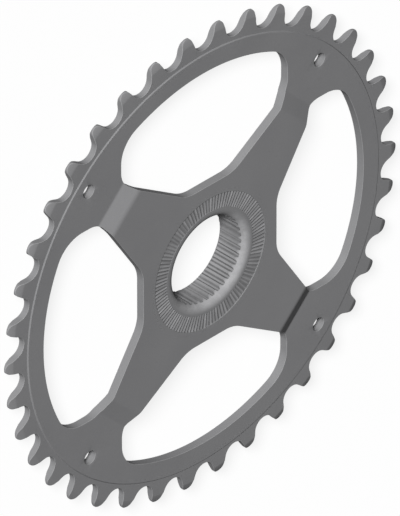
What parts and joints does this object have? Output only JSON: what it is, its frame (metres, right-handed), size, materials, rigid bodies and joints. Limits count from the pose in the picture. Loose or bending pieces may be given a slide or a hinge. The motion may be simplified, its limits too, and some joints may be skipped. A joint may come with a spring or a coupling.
{
  "type": "bicycle chainring",
  "caption": "Toothed bicycle chainring with four arms rising over bent flanges to a raised hub with a serrated ring and a splined collar bore.",
  "frame": {"origin": "centre of the collar's back end face, on the bore's axis; the part rests on that face", "axes": "+Z along the bore axis towards the raised front of the hub, +X through the tip of one tooth"},
  "size_m": [0.1596, 0.1592, 0.0105],
  "materials": {
    "steel": "even dark grey matte coating on pressed steel"
  },
  "bodies": {
    "root": {"chainring": "steel"}
  },
  "joints": []
}
